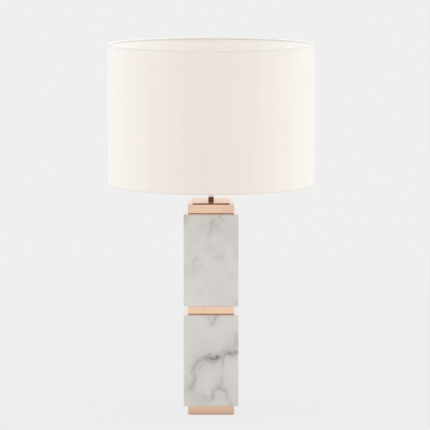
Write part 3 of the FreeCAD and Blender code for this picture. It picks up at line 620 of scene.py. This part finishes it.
def shade_cloth_finish():
    """A fine plain weave with thicker threads here and there, and painted shade in the weave's hollows.
    Painted shade darkens it a little along the rims, and painted light makes it paler where it is turned
    in."""
    finish = Finish("shade cloth", Roughness=0.88, Sheen_Weight=0.20, Sheen_Roughness=0.45)
    finish.put("Specular IOR Level", 0.25)
    along = finish.calc("MULTIPLY", finish.around(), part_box("shade_fabric")[1].x)
    height = finish.axes()[2]
    flat = finish.join(along, height, 0.0)
    weave = weave_height(finish, along, height)
    slub = thick_threads(finish, flat)
    bands = finish.ramp(drawn_noise(finish, flat, 26 * MM, 500 * MM), 0.30, 0.70)
    tone = finish.mix(bands, CLOTH_PALE, CLOTH_DEEP)
    # Painted shade in the weave's hollows.
    tone = finish.mix(finish.ramp(weave, 0.15, 0.6, 0.10, 0.0), tone, CLOTH_HOLLOW_SHADE)
    tone = finish.mix(finish.calc("MULTIPLY", slub, 0.25), tone, CLOTH_SLUB)
    tone = finish.mix(rim_shade_share(finish, height), tone, CLOTH_RIM_SHADE)
    # Painted light on the turned-in roll.
    finish.put("Base Color", finish.mix(turned_in(finish), tone, CLOTH_TURNED_IN_LIT))
    finish.relief(finish.calc("MULTIPLY_ADD", slub, 0.6, weave), 0.10 * MM)
    return finish.material


def liner_finish():
    """The stiff white liner inside the shade, with the overlap of its ends as a fine line at the back. The
    line's core and edge are angles off its middle."""
    finish = Finish("shade liner", Roughness=0.55, Specular_IOR_Level=0.35)
    off_seam = finish.calc("ABSOLUTE", finish.calc("SUBTRACT", finish.around(), SEAM_ANGLE))
    seam = finish.ramp(off_seam, LINER_SEAM_CORE, LINER_SEAM_EDGE, 0.35, 0.0)
    tone = finish.mix(finish.spots(70 * MM, 0.3, 0.7), LINER_PALE, LINER_DEEP)
    finish.put("Base Color", finish.mix(seam, tone, LINER_SEAM))
    finish.relief(finish.noise(finish.stretched(3 * MM, 3 * MM, 0.5 * MM), 1.0, 2.0), 0.02 * MM)
    return finish.material


def coated_wire():
    """White epoxy on steel wire, with the coat's slight ripple and dust in it."""
    finish = Finish("white epoxy", Coat_Weight=0.25, Coat_Roughness=0.15)
    ripple = finish.noise(finish.here, 2.2 * MM, 2.0)
    dust = finish.spots(0.7 * MM, 0.66, 0.80, strength=0.4)
    finish.put("Base Color", finish.mix(dust, WIRE_COAT, WIRE_DUST))
    finish.uneven_gloss(ripple, smooth=0.32, rough=0.42)
    finish.relief(ripple, 0.03 * MM)
    return finish.material


# Foot, fasteners, lampholder and lamp

FELT_DARK = rgb(0.62, 0.57, 0.51)
FELT_PALE = rgb(0.76, 0.71, 0.65)
ZINC_DARK = rgb(0.60, 0.61, 0.62)
ZINC_PALE = rgb(0.70, 0.70, 0.69)
ZINC_DULL = rgb(0.42, 0.41, 0.38)
BRASS = rgb(0.83, 0.62, 0.29)
BRASS_TARNISHED = rgb(0.52, 0.33, 0.12)
NICKEL = rgb(0.71, 0.69, 0.64)
NICKEL_DULL = rgb(0.44, 0.41, 0.36)
MOULDED_PALE = rgb(0.80, 0.785, 0.745)
MOULDED_DEEP = rgb(0.755, 0.735, 0.69)
GLASS_CLEAR = rgb(0.985, 0.985, 0.98)
GLASS_SEED = rgb(0.90, 0.90, 0.88)
FILAMENT_DEEP = rgb(0.86, 0.60, 0.16)
FILAMENT_PALE = rgb(0.90, 0.70, 0.26)
CHIP_SPACING = 1.1 * MM


def grained(name, pale, dark, size, rough, depth):
    """A material with a fine grain of two tones, a matching relief and an uneven gloss."""
    finish = Finish(name)
    grain = finish.noise(finish.here, size, 4.0)
    patches = finish.noise(finish.here, size * 14, 3.0)
    tone = finish.mix(finish.ramp(grain, 0.35, 0.65), dark, pale)
    finish.put("Base Color", finish.mix(finish.ramp(patches, 0.45, 0.75, 0.0, 0.4), tone, dark))
    finish.uneven_gloss(patches, rough * 0.85, rough * 1.15)
    finish.relief(grain, depth)
    return finish.material


def gasket_finish():
    pale = rgb(0.50, 0.34, 0.25)
    dark = rgb(0.34, 0.22, 0.155)
    return grained("gasket", pale, dark, size=1.2 * MM, rough=0.75, depth=0.08 * MM)


def rubber():
    pale = rgb(0.030, 0.029, 0.028)
    dark = rgb(0.014, 0.013, 0.013)
    return grained("rubber", pale, dark, size=0.5 * MM, rough=0.62, depth=0.03 * MM)


def white_plastic():
    pale = rgb(0.78, 0.77, 0.74)
    dark = rgb(0.70, 0.69, 0.65)
    return grained("white plastic", pale, dark, size=0.6 * MM, rough=0.5, depth=0.02 * MM)


# Painted light: the sleeve is painted paler than the other white plastic, where the shade's shadow falls on
# it.
def sleeve_painted_light_finish():
    pale = rgb(0.93, 0.90, 0.85)
    dark = rgb(0.88, 0.84, 0.78)
    return grained("sleeve", pale, dark, size=0.6 * MM, rough=0.35, depth=0.01 * MM)


def black_glass():
    pale = rgb(0.020, 0.020, 0.026)
    dark = rgb(0.010, 0.010, 0.014)
    return grained("black glass", pale, dark, size=2 * MM, rough=0.10, depth=0.02 * MM)


def felt():
    """Light brown felt: short fibres that lie all ways."""
    finish = Finish("felt", Roughness=0.97, Sheen_Weight=0.5, Sheen_Roughness=0.6)
    fibres = finish.noise(finish.stretched(0.25 * MM, 1.3 * MM, 0.4 * MM), 1.0, 5.0)
    crossed = finish.noise(finish.stretched(1.3 * MM, 0.25 * MM, 0.4 * MM), 1.0, 5.0)
    pile = finish.calc("MAXIMUM", fibres, crossed)
    finish.put("Base Color", finish.mix(finish.ramp(pile, 0.45, 0.75), FELT_DARK, FELT_PALE))
    finish.relief(pile, 0.35 * MM)
    return finish.material


def zinc():
    """Zinc plated steel, with the faint leaves of the plating and a few dull spots."""
    finish = Finish("zinc plate", Metallic=1.0)
    cells = finish.node("ShaderNodeTexVoronoi", {"Vector": finish.here, "Scale": 1 / (4 * MM)})
    leaf = finish.axes(cells.outputs["Color"])[0]
    dull = finish.spots(2 * MM, 0.60, 0.75, strength=0.6, detail=4.0)
    finish.put("Base Color", finish.mix(dull, finish.mix(leaf, ZINC_DARK, ZINC_PALE), ZINC_DULL))
    finish.put("Roughness", finish.ramp(leaf, 0.0, 1.0, 0.28, 0.42))
    finish.relief(finish.noise(finish.here, 0.6 * MM, 2.0), 0.01 * MM)
    return finish.material


def brass():
    """Turned brass with tarnish in patches, which also takes its gloss."""
    finish = Finish("brass", Metallic=1.0)
    tarnish = finish.spots(7 * MM, 0.45, 0.75, strength=0.7, detail=4.0)
    finish.put("Base Color", finish.mix(tarnish, BRASS, BRASS_TARNISHED))
    finish.put("Roughness", finish.ramp(tarnish, 0.0, 0.7, 0.20, 0.42))
    finish.relief(finish.noise(finish.here, 0.5 * MM, 3.0), 0.012 * MM)
    return finish.material


def nickel(name, drawn):
    """Bright nickel, with drawing lines along one axis."""
    finish = Finish(name, Metallic=1.0)
    lines = finish.noise(finish.stretched(*drawn), 1.0, 3.0)
    dull = finish.spots(1.5 * MM, 0.62, 0.78, strength=0.5, detail=4.0)
    finish.put("Base Color", finish.mix(dull, NICKEL, NICKEL_DULL))
    finish.uneven_gloss(lines, smooth=0.20, rough=0.36)
    finish.relief(lines, 0.008 * MM)
    return finish.material


def holder_plastic():
    """Glossy white moulding, with flow marks and the mould's light texture."""
    finish = Finish("moulded white", IOR=1.49, Coat_Weight=0.15)
    flow = finish.noise(finish.stretched(9 * MM, 9 * MM, 3 * MM), 1.0, 3.0)
    texture = finish.noise(finish.here, 0.45 * MM, 2.0)
    finish.put("Base Color", finish.mix(finish.ramp(flow, 0.35, 0.7), MOULDED_PALE, MOULDED_DEEP))
    finish.uneven_gloss(flow, smooth=0.24, rough=0.34)
    finish.relief(texture, 0.012 * MM)
    return finish.material


def clear_glass():
    """Clear blown glass: a very slight ripple and a few seeds."""
    finish = Finish("clear glass", Transmission_Weight=1.0, IOR=1.47)
    ripple = finish.noise(finish.stretched(14 * MM, 14 * MM, 26 * MM), 1.0, 1.0)
    seeds = finish.spots(1.1 * MM, 0.74, 0.80, detail=2.0)
    finish.put("Base Color", finish.mix(seeds, GLASS_CLEAR, GLASS_SEED))
    finish.put("Roughness", finish.ramp(seeds, 0.0, 1.0, 0.0, 0.12))
    finish.relief(ripple, 0.03 * MM)
    return finish.material


def filament_finish():
    """The yellow coat of the light-giving rods, with the row of chips under it."""
    finish = Finish("filament coat", Roughness=0.6)
    chips = finish.calc("SINE", finish.calc("MULTIPLY", finish.axes()[2], FULL_TURN / CHIP_SPACING))
    finish.put("Base Color", finish.mix(finish.ramp(chips, -0.4, 0.6), FILAMENT_DEEP, FILAMENT_PALE))
    finish.relief(finish.noise(finish.here, 0.3 * MM, 3.0), 0.03 * MM)
    return finish.material


def dress_cad_nodes():
    """Gives every carried-over node its own finish or the one of its material slot."""
    shared = {
        "dark_gasket": gasket_finish(),
        "felt": felt(),
        "zinc_steel": zinc(),
        "black_rubber": rubber(),
        "white_plastic": white_plastic(),
        "dark_bronze": bronze(),
        "holder_plastic": holder_plastic(),
        "brass": brass(),
        "shade_liner": liner_finish(),
        "white_wire": coated_wire(),
        "black_insulator": black_glass(),
        "nickel_cap": nickel("nickel cap", (12 * MM, 12 * MM, 0.3 * MM)),
        "clear_glass": clear_glass(),
        "nickel_wire": nickel("nickel wire", (0.4 * MM, 0.4 * MM, 5 * MM)),
        "filament": filament_finish(),
    }
    own = {
        # Painted reflection: the spacer and the plinth get lighter and darker copies of the one copper.
        "plinth": copper("plinth", COPPER_PAINTED_DARKER, painted_foot_shade),
        "spacer": copper("spacer", COPPER_PAINTED_LIGHTER),
        "cap": copper("cap", COPPER, cap_seam_and_shade),
        "cap_plate": cap_plate_finish(),
        "lower_marble": marble("lower_marble", LOWER_PALE, LOWER_VEINS),
        "upper_marble": marble("upper_marble", UPPER_PALE, UPPER_VEINS),
        "stem_sleeve": sleeve_painted_light_finish(),
    }
    slot_of = {part["node"]: part["material_slot"] for part in frame["record"]["subparts"]}
    for name, node in frame["nodes"].items():
        finish = own.get(name) or shared.get(slot_of[name])
        if finish is None:
            continue
        node.data.materials.clear()
        node.data.materials.append(finish)


# The shade's cloth, as one sheet rolled in over both wire rings


def add_object(name, data):
    made = bpy.data.objects.new(name, data)
    bpy.context.scene.collection.objects.link(made)
    return made


def arc(centre_radius, centre_height, size, first, last, steps):
    """Points round a centre in the plane of radius and height, from one angle to another in degrees."""
    points = []
    for i in range(steps + 1):
        angle = math.radians(first + (last - first) * i / steps)
        points.append((centre_radius + size * math.cos(angle), centre_height + size * math.sin(angle)))
    return points


def wall_radius(inset):
    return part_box("shade_fabric")[1].x - WALL_INSET - inset


def slit_end(middle, edge):
    """Points from the middle of the cloth's thickness to its edge, which close it off in a slit. There are
    as many as in a lap, so that both kinds of section match."""
    points = []
    for i in range(HEM_POINTS):
        share = (i + 0.5) / HEM_POINTS
        points.append(tuple(start + (end - start) * share for start, end in zip(middle, edge)))
    return points


def wire_lap(inset):
    """The cloth's end: from the liner, and round the upper wire ring."""
    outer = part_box("shade_fabric")[1]
    wire_low, wire_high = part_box("top_ring_wire")
    wire = (wire_high.z - wire_low.z) / 2
    ring = wire_high.x - wire
    wrap = ring - (outer.x - ROLL_DEPTH) - inset
    lap = arc(ring, wire_high.z - wire, wrap, 270, 180, HEM_POINTS - 2)
    lap_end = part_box("shade_liner")[1].x - LINER_THICKNESS - LAP_GAP
    return [(lap_end, lap[0][1])] + lap


def rolled_edge(inset, slit):
    """One skin of the cloth's upper edge, from its end at the liner, round the wire and over the rim to the
    wall, which lies a little deeper than the rim. inset is 0 for the skin that shows, and the cloth's
    thickness for the one that faces the wire. In a slit the cloth ends in the roll."""
    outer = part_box("shade_fabric")[1]
    centre = outer.z - ROLL_RADIUS
    near = outer.x - ROLL_DEPTH + ROLL_RADIUS
    far = outer.x - ROLL_RADIUS
    size = ROLL_RADIUS - inset
    first = 180 - SLIT_TURN if slit else 180
    roll = arc(near, centre, size, first, 90, ROLL_STEPS) + arc(far, centre, size, 90, 0, ROLL_STEPS)
    foot = outer.z - RIM_HEIGHT
    roll += [(outer.x - inset, foot + WALL_INSET), (wall_radius(inset), foot)]
    if slit:
        middle = arc(near, centre, ROLL_RADIUS - CLOTH_THICKNESS / 2, first, first, 1)[0]
        return slit_end(middle, roll[0]) + roll
    return wire_lap(inset) + roll


def cloth_skin(inset, slit=False):
    """One skin of the cloth's section, from the upper hem's end over the wall to the lower hem's end. The
    lower edge mirrors the upper one, and has a slit where a spoke passes."""
    low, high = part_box("shade_fabric")
    above = rolled_edge(inset, False)
    below = [(radius, low.z + high.z - height) for radius, height in rolled_edge(inset, slit)]
    wall_top = above[-1][1]
    wall_bottom = below[-1][1]
    wall = []
    for i in range(1, WALL_ROWS):
        wall.append((wall_radius(inset), wall_top + (wall_bottom - wall_top) * i / WALL_ROWS))
    return above + wall + below[::-1]


def turn_between(first, second):
    return abs((first - second + math.pi) % FULL_TURN - math.pi)


def columns():
    """The angles of the shade's columns, each with whether it lies in a slit and in the seam. Both sides of
    every slit and of the seam get two columns of their own, close together."""
    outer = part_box("shade_fabric")[1].x
    step = SEAM_STEP / outer
    slit = (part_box("fitter_spoke_1")[1].x + SLIT_MARGIN) / (outer - ROLL_DEPTH)
    spokes = [SEAM_ANGLE + FULL_TURN * i / SPOKE_COUNT for i in range(SPOKE_COUNT)]
    seam = SEAM_WIDTH / 2 / outer
    marks = []
    for angle, half in [(spoke, slit) for spoke in spokes] + [(SEAM_ANGLE, seam)]:
        for way in (-1, 1):
            marks += [angle + way * half, angle + way * (half + step)]
    angles = list(marks)
    for i in range(SHADE_COLUMNS):
        angle = FULL_TURN * i / SHADE_COLUMNS
        if all(turn_between(angle, mark) > 2 * step for mark in marks):
            angles.append(angle)
    found = []
    for angle in sorted(angle % FULL_TURN for angle in angles):
        in_slit = any(turn_between(angle, spoke) < slit + step / 2 for spoke in spokes)
        in_seam = turn_between(angle, SEAM_ANGLE) < seam + step / 2
        found.append((angle, in_slit, in_seam))
    return found


def wall_lift(across, height, shown, in_seam):
    """How far the stretched cloth stands off its even cylinder: a little slack, and the seam's overlap."""
    place = across * SLACK_TURNS + Vector((0.0, 0.0, height / SLACK_HEIGHT))
    slack = abs(noise.noise(place)) * SLACK_DEPTH
    return (SEAM_RISE if in_seam and shown else 0.0) - slack


def cloth_mesh():
    """The cloth as a ring of closed sections: the skin that shows, then the one that faces the wires."""
    low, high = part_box("shade_fabric")
    sections = {}
    for slit in (False, True):
        sections[slit] = (cloth_skin(0.0, slit), cloth_skin(CLOTH_THICKNESS, slit)[::-1])
    wall_low = low.z + RIM_HEIGHT + WALL_INSET
    wall_high = high.z - RIM_HEIGHT - WALL_INSET
    verts = []
    angles = columns()
    for angle, in_slit, in_seam in angles:
        across = Vector((math.cos(angle), math.sin(angle), 0.0))
        for shown, skin in zip((True, False), sections[in_slit]):
            for radius, height in skin:
                on_wall = wall_low < height < wall_high and radius > high.x - ROLL_RADIUS
                lift = wall_lift(across, height, shown, in_seam) if on_wall else 0.0
                verts.append(across * (radius + lift) + Vector((0.0, 0.0, height)))
    rows = len(verts) // len(angles)
    faces = []
    for i in range(len(angles)):
        here = i * rows
        there = (i + 1) % len(angles) * rows
        for j in range(rows):
            k = (j + 1) % rows
            faces.append((here + j, here + k, there + k, there + j))
    mesh = bpy.data.meshes.new("shade_cloth")
    mesh.from_pydata(verts, [], faces)
    mesh.shade_smooth()
    mesh.set_sharp_from_angle(angle=SHARP_ANGLE)
    return mesh


def build_shade_cloth():
    """The shade's fabric in one piece: stretched over the liner, rolled over both wires, glued inside."""
    mesh = cloth_mesh()
    mesh.materials.append(shade_cloth_finish())
    cloth = add_object("shade_cloth", mesh)
    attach(cloth, "shade")
    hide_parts("shade_fabric", "top_hem", "bottom_hem")
    section = cloth_skin(CLOTH_THICKNESS / 2)


# Studio


def build_camera():
    lens = bpy.data.cameras.new("photo camera")
    lens.sensor_width = SENSOR_WIDTH
    lens.lens = FOCAL_PIXELS * SENSOR_WIDTH / PHOTO_WIDTH
    lens.clip_end = 4 * FLOOR_SIZE
    camera = add_object("photo camera", lens)
    camera.location = CAMERA_PLACE
    yaw = math.atan((PHOTO_WIDTH / 2 - AXIS_PIXEL) / FOCAL_PIXELS)
    camera.rotation_euler = (math.pi / 2 - CAMERA_PITCH, 0.0, -yaw)
    bpy.context.scene.camera = camera


def build_tent():
    """The world: pale where it is seen, and otherwise the tent's light."""
    world = bpy.data.worlds.new("tent")
    world.use_nodes = True
    bpy.context.scene.world = world
    sky = Formula(world.node_tree, "Generated")
    x, y, _ = sky.axes()
    side = sky.mix(sky.ramp(x, -TENT_CHANGE_SHARE, TENT_CHANGE_SHARE), TENT_LEFT, TENT_RIGHT)
    tilt = sky.calc("MULTIPLY", x, TENT_TILT)
    even = sky.vector("ADD", sky.join(tilt, tilt, tilt), TENT_EVEN)
    light = sky.vector("ADD", sky.scaled(side, sky.calc("MULTIPLY", x, x)), even)
    tent = sky.node("ShaderNodeBackground", {"Color": light}).outputs[0]
    mirrored = sky.mix(sky.ramp(y, 0.0, MIRRORED_BACK_SHARE), PALE, MIRRORED_BACK)
    pale = sky.mix(sky.is_seen("Glossy"), PALE, mirrored)
    backdrop = sky.node("ShaderNodeBackground", {"Color": pale}).outputs[0]
    surface = sky.blend(sky.is_seen("Camera", "Glossy", "Transmission"), tent, backdrop)
    sky.links.new(surface, sky.nodes["World Output"].inputs["Surface"])


def floor_finish():
    """Pale as the backdrop where it is seen. Near the lamp a share of it is the lit surface, so that it
    keeps the lamp's shadow."""
    finish = Finish("pale floor", Base_Color=FLOOR_COLOUR, Roughness=0.9, Specular_IOR_Level=0.0)
    glow = finish.node("ShaderNodeEmission", {"Color": PALE}).outputs[0]
    away = finish.vector("DISTANCE", finish.here, (0.0, 0.0, 0.0))
    lit = finish.ramp(away, FLOOR_REAL_RADIUS, FLOOR_FADE_RADIUS, FLOOR_REAL_SHARE, 0.0)
    plain = finish.calc("SUBTRACT", 1.0, lit)
    direct = finish.calc("MULTIPLY", finish.is_seen("Camera", "Transmission"), plain)
    lit = finish.ramp(away, FLOOR_MIRRORED_RADIUS, FLOOR_MIRRORED_FADE, FLOOR_MIRRORED_SHARE, 0.0)
    plain = finish.calc("SUBTRACT", 1.0, lit)
    mirrored = finish.calc("MULTIPLY", finish.is_seen("Glossy"), plain)
    surface = finish.blend(finish.calc("MAXIMUM", direct, mirrored), finish.shader.outputs[0], glow)
    finish.links.new(surface, finish.nodes["Material Output"].inputs["Surface"])
    return finish.material


def build_floor():
    half = FLOOR_SIZE / 2
    corners = [(-half, -half, 0), (half, -half, 0), (half, half, 0), (-half, half, 0)]
    mesh = bpy.data.meshes.new("floor")
    mesh.from_pydata(corners, [], [(0, 1, 2, 3)])
    mesh.materials.append(floor_finish())
    add_object("floor", mesh)


build_camera()
build_tent()
build_floor()
dress_cad_nodes()
build_shade_cloth()
bpy.context.scene.view_settings.view_transform = "Standard"
